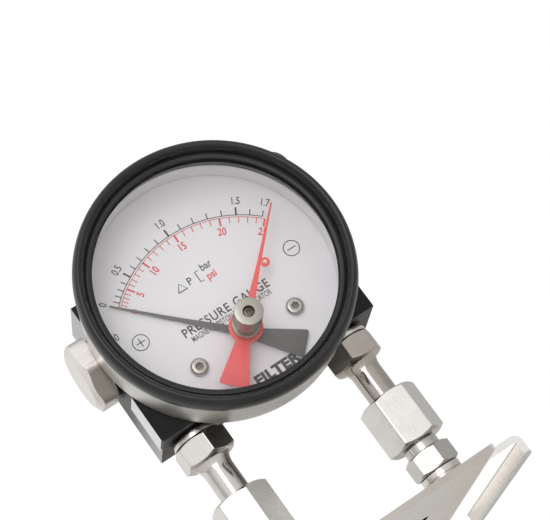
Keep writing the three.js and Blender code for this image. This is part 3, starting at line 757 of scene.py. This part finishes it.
def red_print():
    """The psi scale and its unit."""
    shapes = [strip(arc(PSI_LINE, dial_angle(0), dial_angle(25 / PSI_PER_BAR), 80), 0.32)]
    for psi in range(26):
        degrees = dial_angle(psi / PSI_PER_BAR)
        bold = psi % 5 == 0
        ends = [polar(PSI_TICK, degrees), polar(PSI_LONG if bold else PSI_SHORT, degrees)]
        shapes.append(strip(ends, 0.84 if bold else 0.4))
        if bold:
            label_at = polar(PSI_LABEL, degrees)
            shapes.append(text(str(psi), 3.3, label_at, degrees - 90, 0.78, 0.13))
    shapes.append(text("psi", 3.4, (3.3, 29.3), 0, 0.82, 0.12))
    return joined(shapes)


piece("dial_print_dark", dark_print(), print_dark)
piece("dial_print_red", red_print(), print_red)
faint = text("MAGNETIC PISTON TYPE INDICATOR", 2.5, (0, 9.4), 0, 0.62, 0.05, 1.05)
print_faint = plain("print_faint", (0.07, 0.067, 0.065), 0.5, size=0.4, relief=0.001)
piece("dial_print_faint", faint, print_faint)


# ---------------------------------------------------------------- screws, knob and pointers
SCREW_SOCKET, SOCKET_TURN, SOCKET_EASE = 2.9, 20, 0.15
SOCKET_FLOOR_Y = -0.9


def dial_screw(x):
    """A domed screw with a hexagonal socket, its shank running back through the case."""
    socket, angles = hexagon(SCREW_SOCKET, SOCKET_TURN, SOCKET_EASE)
    dome = [
        (2.45 + 1.45 * math.sin(math.radians(t)), -2.3 + 1.4 * (1 - math.cos(math.radians(t))))
        for t in range(0, 91, 10)
    ]
    rings = [(0, SOCKET_FLOOR_Y), (socket, SOCKET_FLOOR_Y), (socket, -2.16),
             (lambda a: socket(a) + 0.14, -2.3), *dome, (3.9, -0.5), (3.7, -0.3), (2, -0.3),
             (2, 12), (0, 12)]
    return loft("y", rings, angles, (x, 0, DIAL_SCREW_Z))


def dark_socket(x):
    """A thin lining of painted shade inside a dial screw's hexagonal socket."""
    socket, angles = hexagon(SCREW_SOCKET, SOCKET_TURN, SOCKET_EASE)
    clear, thick, mouth_y = 0.02, 0.09, -2.12
    rings = [(0, SOCKET_FLOOR_Y - clear), (lambda a: socket(a) - clear, SOCKET_FLOOR_Y - clear),
             (lambda a: socket(a) - clear, mouth_y), (lambda a: socket(a) - thick, mouth_y),
             (lambda a: socket(a) - thick, SOCKET_FLOOR_Y - thick), (0, SOCKET_FLOOR_Y - thick)]
    return loft("y", rings, angles, (x, 0, DIAL_SCREW_Z))


# The socket pieces are linings of painted shade.
socket_painted_shade = plain("socket_painted_shade", (0.17, 0.155, 0.14), 0.5, size=0.3, tone=0.2)
for side, x in (("left", -DIAL_SCREW_X), ("right", DIAL_SCREW_X)):
    piece("socket_" + side, dark_socket(x), socket_painted_shade)
    piece("screw_" + side, dial_screw(x), screw_steel,
          stands_for=["dial_screw_" + side])


KNOB_RADIUS, KNURLS = 6, 72


def reset_knob():
    """The knob, its side finely knurled, with a groove near its rear and a bore through it."""
    def knurl(depth):
        return lambda a: KNOB_RADIUS - depth * (0.5 + 0.5 * math.cos(KNURLS * a))

    rings = [(2.45, -23.6), (2.45, -26.75), (2.6, -26.9), (5.74, -26.9), (5.9, -26.84),
             (KNOB_RADIUS, -26.7), (knurl(0), -26.1), (knurl(0), -25.9), (knurl(0.13), -25.6),
             (knurl(0.13), -16.9), (knurl(0), -16.7), (5.95, -16.6), (4.4, -16.5), (4.4, -15.4),
             (5.9, -15.2), (5.9, -14.8), (1.8, -14.8), (1.8, -23.6)]
    return loft("y", rings, circle(6 * KNURLS), closed=True)


piece("knob", reset_knob(), knob_steel, FOLLOWER, ["reset_knob"], sharp=24)

socket, socket_angles = hexagon(1.9, 10, 0.1)
screw_rings = [(0, -24.7), (socket, -24.7), (socket, -25.55), (lambda a: socket(a) + 0.1, -25.7),
               (1.6, -25.7), (1.9, -25.55), (2, -25.3), (2, -23.9), (1.2, -23.9), (1.2, -22.4),
               (0, -22.4)]
dark_screw = grained("dark_screw", (0.16, 0.145, 0.125), 0.35, (1, 1, 1), size=0.4)
piece("centre_screw", loft("y", screw_rings, socket_angles), dark_screw, FOLLOWER,
      ["knob_screw"])

bushing_profile = eased([
    (1.8, -14.4), (2.8, -14.4), (2.8, -11.9), (5.9, -11.9), (5.9, -8.6), (1.8, -8.6),
], radius=0.3, loop=True)
piece("bushing", loft("y", bushing_profile, circle(72), closed=True), bushing_metal,
      stands_for=["knob_bushing"])

TAIL = 26.0
TIP = 57.2
SHOULDER = 27
EYELET_SHOULDER = (SHOULDER, -0.9)


def blade(hub, tail_root_half, hole_radius):
    """A pointer's outline along +X, with its fan-shaped tail, and the hole at its hub."""
    root = math.degrees(math.asin(1.85 / hub))
    tail_root = math.degrees(math.asin(tail_root_half / hub))
    corner, tail_half, point = 1.2, 5.0, 0.3
    outline = [(SHOULDER, 0.9)] + arc(hub, root, 180 - tail_root, 24)
    outline += arc(corner, 95, 180, 6, (corner - TAIL, tail_half))
    outline += arc(corner, 180, 265, 6, (corner - TAIL, -tail_half))
    outline += arc(hub, 180 + tail_root, 360 - root, 24)
    outline += [EYELET_SHOULDER, (TIP - point, -0.32)]
    outline += arc(point, -80, 80, 4, (TIP - point, 0)) + [(TIP - point, 0.32)]
    return [outline, arc(hole_radius, 360, 0, 32)[:-1]]


def pointer_with_eyelet():
    """The red pointer, its eyelet standing out from the blade's edge."""
    outline, hole = blade(7.2, 3.0, 1.8)
    along, across, outer = 29.9, -2.35, 2.1
    edge = -0.85
    half = math.degrees(math.asin((edge - across) / outer))
    loop = arc(outer, 180 - half, 360 + half, 28, (along, across))
    cut = outline.index(EYELET_SHOULDER)
    outline = outline[:cut + 1] + loop + outline[cut + 1:]
    return [outline, hole, arc(0.95, 360, 0, 20, (along, across))[:-1]]


# The pointers' angles at rest, in degrees from +X towards +Z, and their middles' distance in y.
GREY_AT, RED_AT = 135.08, 44.43
GREY_Y, RED_Y = -1.45, -7.85
POINTER_THICK = 0.5
grey = on_dial(cut_plate("grey", blade(4.5, 2.5, 3.3), POINTER_THICK), GREY_Y, GREY_AT)
piece("grey_pointer", grey, pointer_grey, POINTER, ["pointer"])
red = on_dial(cut_plate("red", pointer_with_eyelet(), POINTER_THICK), RED_Y, RED_AT)
piece("red_pointer", red, pointer_red, FOLLOWER, ["follower_pointer"])


# ---------------------------------------------------------------- fittings
CHAMFER = math.tan(math.pi / 6)

# Bottoms and tops of the hexagons, and the bracket's upper face.
ADAPTOR_HEX_Z = (-33.2, -22.7)
COUPLING_Z = (-75.4, -51.5)
STUD_HEX_Z = (-89.5, -79.9)
SHEET_Z = -94.7
NECK_RADIUS, THREAD_RADIUS = 6.75, 5.9


def hex_ends(across_flats, turn, low, high, ease=0.5):
    """Rings of a hexagon from high down to low, its corners turned down at both ends."""
    radius, angles = hexagon(across_flats, turn, ease)
    face = across_flats * 0.48
    upper = [(face, high), (radius, lambda a: high - (radius(a) - face) * CHAMFER)]
    lower = [(radius, lambda a: low + (radius(a) - face) * CHAMFER), (face, low)]
    return upper, lower, angles


def adaptor(turn, at):
    """A port's adaptor: stub, hexagon, neck flared into it, and thread in the coupling."""
    low, high = ADAPTOR_HEX_Z
    upper, lower, angles = hex_ends(22, turn, low, high)
    neck = [
        (NECK_RADIUS + 2.65 * (1 - math.sin(math.radians(t))),
         low - 5.5 * (1 - math.cos(math.radians(t))))
        for t in range(0, 91, 9)
    ]
    rings = [(0, -5.9), (5.6, -5.9), (6.4, -6.7), (6.4, high), *upper, *lower, (9.6, low), *neck,
             (NECK_RADIUS, -50.9), (6.6, -51.2), (THREAD_RADIUS, -51.5), (THREAD_RADIUS, -60.5),
             (0, -60.5)]
    return loft("z", rings, angles, at)


def coupling(turn, at):
    """The hexagonal sleeve between an adaptor and a stud."""
    low, high = COUPLING_Z
    upper, lower, angles = hex_ends(24, turn, low, high, 0.6)
    rings = [(6.2, high - 0.9), (7.1, high), *upper, *lower, (7.1, low), (6.2, low + 0.9)]
    return loft("z", rings, angles, at, closed=True)


def stud(turn, at):
    """The fitting from a coupling down to the bracket."""
    low, high = STUD_HEX_Z
    upper, lower, angles = hex_ends(19, turn, low, high)
    rings = [(0, -66.4), (THREAD_RADIUS, -66.4), (THREAD_RADIUS, -75.7), (7.5, -75.9),
             (7.8, -76.3), (7.8, -79.6), (8.2, high), *upper, *lower, (6, low), (6, SHEET_Z),
             (0, SHEET_Z)]
    return loft("z", rings, angles, at)


def turned_ring(profile, at):
    """A round ring about a line along z, its section eased."""
    return loft("z", eased(profile, 0.18, loop=True), circle(96), at, closed=True)


COLLAR = [(6.3, SHEET_Z), (9.3, SHEET_Z), (9.3, -93.7), (8.4, -93.45), (8.4, -92.95),
          (9.3, -92.7), (9.3, -90.1), (8.7, -89.8), (6.3, -89.8)]
WASHER = [(6.7, -22.4), (10.9, -22.4), (10.9, -20.1), (6.7, -20.1)]
SEAL = [(6.7, -19.8), (8.6, -19.8), (8.6, -19.2), (6.7, -19.2)]

# The turns in degrees of each side's adaptor, coupling and stud.
TRAINS = {"left": (35, 40, 22), "right": (9, 55, 37.5)}
for side, (adaptor_turn, coupling_turn, stud_turn) in TRAINS.items():
    centre = middle("coupling_" + side)
    at = ((centre.x - pivot.x) / MM, (centre.y - pivot.y) / MM, 0)
    for name, shape, material, slot, node in (
        ("adaptor_", adaptor(adaptor_turn, at), adaptor_steel[side], "fitting_steel",
         "port_adaptor_"),
        ("sleeve_", coupling(coupling_turn, at), hex_steel, "fitting_steel", "coupling_"),
        ("stud_", stud(stud_turn, at), stud_steel, "fitting_steel", "port_stud_"),
        ("collar_", turned_ring(COLLAR, at), turned_steel, "fitting_steel", "stud_collar_"),
        ("washer_", turned_ring(WASHER, at), turned_steel, "fitting_steel", "port_collar_"),
        ("ring_", turned_ring(SEAL, at), seal_rubber, "seal_rubber", "port_seal_"),
    ):
        piece(name + side, shape, material, stands_for=[node + side], sharp=26)

bore = middle("end_plug")
bore_at = (0, (bore.y - pivot.y) / MM, (bore.z - pivot.z) / MM)
BORE_RADIUS = 11
PLUG_FACE_RADIUS, PLUG_CORNER_RADIUS = 12.4, 16.4


def end_plug():
    """The plug in the block's bore, its hexagonal head's corners turned down."""
    shank, left, right = -44, -64.7, -55.3
    flats, angles = hexagon(30, 8, 0.4)

    def radius(angle):
        return min(flats(angle), PLUG_CORNER_RADIUS)

    chamfer = [(radius, lambda a: left + (radius(a) - PLUG_FACE_RADIUS) * CHAMFER),
               (PLUG_FACE_RADIUS, left), (0, left)]
    rings = [(0, shank), (BORE_RADIUS, shank), (BORE_RADIUS, right), (radius, right), *chamfer]
    return loft("x", rings, angles, bore_at)


piece("plug_head", end_plug(), plug_steel, stands_for=["end_plug"], sharp=26)


def coil(radius, wire, low, high, turns, centre):
    """Vertices and faces of a round wire wound about a line along x."""
    steps, sides = 30 * turns, 10
    verts, faces = [], []
    for step in range(steps + 1):
        along = low + (high - low) * step / steps
        angle = 2 * math.pi * turns * step / steps
        for side in circle(sides):
            out = radius + wire * math.cos(side)
            verts.append((centre[0] + along + wire * math.sin(side),
                          centre[1] + out * math.cos(angle), centre[2] + out * math.sin(angle)))
    for start in range(0, steps * sides, sides):
        for k in range(sides):
            after = (k + 1) % sides
            faces.append((start + k, start + after, start + sides + after, start + sides + k))
    faces += [tuple(range(sides)), tuple(range(steps * sides, (steps + 1) * sides))]
    return verts, faces


# The spring, wound along the bore with its right end on its seat.
wound = coil(radius=9.5, wire=0.8, low=0.1, high=39.9, turns=6, centre=bore_at)
spring = piece("spring", wound, hidden_steel, stands_for=["range_spring"])
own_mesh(spring)

for name, outer, low, high, material, slot, node in (
    ("plug_seal", 13.6, -54.1, -53.6, seal_rubber, "seal_rubber", "plug_o_ring"),
    ("plug_shim", 14.0, -55.0, -54.4, turned_steel, "fitting_steel", "plug_washer"),
):
    profile = eased([(11.3, low), (outer, low), (outer, high), (11.3, high)], loop=True)
    piece(name, loft("x", profile, circle(96), bore_at, closed=True), material,
          stands_for=[node])


# ---------------------------------------------------------------- CAD nodes that stay
KEPT = {
    "dial_plate": dial_white, "window": window_clear, "body_block": block_black,
    "mounting_bracket": sheet_steel, "label_strip": label_white, "follower_pin": pin_cream,
    "rotary_magnet": magnet_grey, "piston_magnet": magnet_grey, "piston_seal": seal_rubber,
    "dial_spacer_left": hidden_brass, "dial_spacer_right": hidden_brass,
    "pointer_hub": hidden_brass, "magnet_carrier": hidden_brass, "follower_hub": hidden_brass,
    "arbor_bearing_front": hidden_brass, "arbor_bearing_rear": hidden_brass,
    "spring_seat": hidden_brass, "pointer_arbor": hidden_steel, "knob_shaft": hidden_steel,
    "piston": hidden_steel, "magnet_clip": hidden_steel,
}
for node, material in KEPT.items():
    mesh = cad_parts[node].data
    mesh.materials.clear()
    mesh.materials.append(material)


def soften(node, width):
    """Rounds a CAD node's sharp edges by width millimetres."""
    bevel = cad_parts[node].modifiers.new("eased_edges", "BEVEL")
    bevel.width = width * MM
    bevel.segments = 2
    bevel.limit_method = "ANGLE"
    bevel.angle_limit = math.radians(50)
    bevel.harden_normals = True


soften("body_block", 0.35)
soften("mounting_bracket", 0.25)

# ---------------------------------------------------------------- light, floor and camera
world = bpy.data.worlds.new("studio")
bpy.context.scene.world = world
world.use_nodes = True
tree = world.node_tree
backdrop = tree.nodes["Background"]
backdrop.inputs["Color"].default_value = (1, 1, 1, 1)
backdrop.inputs["Strength"].default_value = 1.0
room = tree.nodes.new("ShaderNodeBackground")
direction = tree.nodes.new("ShaderNodeTexCoord").outputs["Generated"]


def lobe(towards, low, high, gain):
    """Light of strength gain from the part of the room round a direction."""
    dot = tree.nodes.new("ShaderNodeVectorMath")
    dot.operation = "DOT_PRODUCT"
    tree.links.new(direction, dot.inputs[0])
    dot.inputs[1].default_value = Vector(towards).normalized()
    ramp = tree.nodes.new("ShaderNodeMapRange")
    ramp.interpolation_type = "SMOOTHSTEP"
    tree.links.new(dot.outputs["Value"], ramp.inputs["Value"])
    for socket, value in (("From Min", low), ("From Max", high), ("To Min", 0), ("To Max", gain)):
        ramp.inputs[socket].default_value = value
    return ramp.outputs[0]


def total(values, start):
    """The sum of sockets and a number."""
    result = start
    for value in values:
        add = tree.nodes.new("ShaderNodeMath")
        add.operation = "ADD"
        tree.links.new(value, add.inputs[0])
        if isinstance(result, float):
            add.inputs[1].default_value = result
        else:
            tree.links.new(result, add.inputs[1])
        result = add.outputs[0]
    return result


strength = total([
    lobe((-0.1, -1, 0.3), -0.05, 0.8, 0.52),
    lobe((-0.2, -0.4, 0.9), 0.3, 0.9, 0.35),
    lobe((-0.7, 0.7, 0.15), 0.5, 0.95, 0.66),
    lobe((0.8, 0.6, 0.1), 0.2, 0.9, 0.3),
], 0.26)
tree.links.new(strength, room.inputs["Strength"])
room.inputs["Color"].default_value = (1.0, 0.99, 0.978, 1)
rays = tree.nodes.new("ShaderNodeLightPath")
choose = tree.nodes.new("ShaderNodeMixShader")
tree.links.new(rays.outputs["Is Camera Ray"], choose.inputs[0])
tree.links.new(room.outputs[0], choose.inputs[1])
tree.links.new(backdrop.outputs[0], choose.inputs[2])
tree.links.new(choose.outputs[0], tree.nodes["World Output"].inputs["Surface"])


def softbox(name, place, target, size, power):
    """A round area light in metres and watts, aimed at target and unseen by the camera."""
    light = bpy.data.lights.new(name, "AREA")
    light.shape = "DISK"
    light.size = size
    light.energy = power
    lamp = bpy.data.objects.new(name, light)
    lamp.location = place
    aim = Vector(target) - Vector(place)
    lamp.rotation_euler = aim.to_track_quat("-Z", "Y").to_euler()
    lamp.visible_camera = False
    bpy.context.scene.collection.objects.link(lamp)


softbox("key", (-0.3, -1.25, 0.55), pivot, 0.7, 3)
softbox("fill", (-0.3, -1.2, -0.12), pivot, 0.9, 3)

# Metres.
FLOOR_Z, FLOOR_HALF = -0.2, 3
floor_mesh = bpy.data.meshes.new("floor")
corners = [(-FLOOR_HALF, -FLOOR_HALF), (FLOOR_HALF, -FLOOR_HALF), (FLOOR_HALF, FLOOR_HALF),
           (-FLOOR_HALF, FLOOR_HALF)]
floor_mesh.from_pydata([(x, y, FLOOR_Z) for x, y in corners], [], [(0, 1, 2, 3)])
floor_mesh.materials.append(plain("pale_floor", (0.78, 0.77, 0.75), 0.7, size=3, tone=0.02))
floor = bpy.data.objects.new("floor", floor_mesh)
bpy.context.scene.collection.objects.link(floor)

scene = bpy.context.scene
scene.view_settings.view_transform = "Standard"

# The camera's place from the pivot, sensor and focal length in millimetres, its nearest depth in
# metres and its angles in degrees.
CAMERA_AT = (-190.45, -750.99, -194.87)
SENSOR, FOCAL_LENGTH, NEAR = 36, 125.95, 0.05
AZIMUTH, ELEVATION, ROLL = map(math.radians, (16.314, 15.347, 36.50))
ahead = Vector((
    math.cos(ELEVATION) * math.sin(AZIMUTH), math.cos(ELEVATION) * math.cos(AZIMUTH),
    math.sin(ELEVATION),
))
level = Vector((math.cos(AZIMUTH), -math.sin(AZIMUTH), 0))
upward = level.cross(ahead)
right = level * math.cos(ROLL) - upward * math.sin(ROLL)
up = level * math.sin(ROLL) + upward * math.cos(ROLL)
lens = bpy.data.cameras.new("camera")
lens.sensor_width = SENSOR
lens.lens = FOCAL_LENGTH
lens.clip_start = NEAR
camera = bpy.data.objects.new("camera", lens)
turn = Matrix((right, up, -ahead)).transposed().to_4x4()
camera.matrix_world = Matrix.Translation(put(CAMERA_AT)) @ turn
scene.collection.objects.link(camera)
scene.camera = camera

bpy.context.view_layer.update()
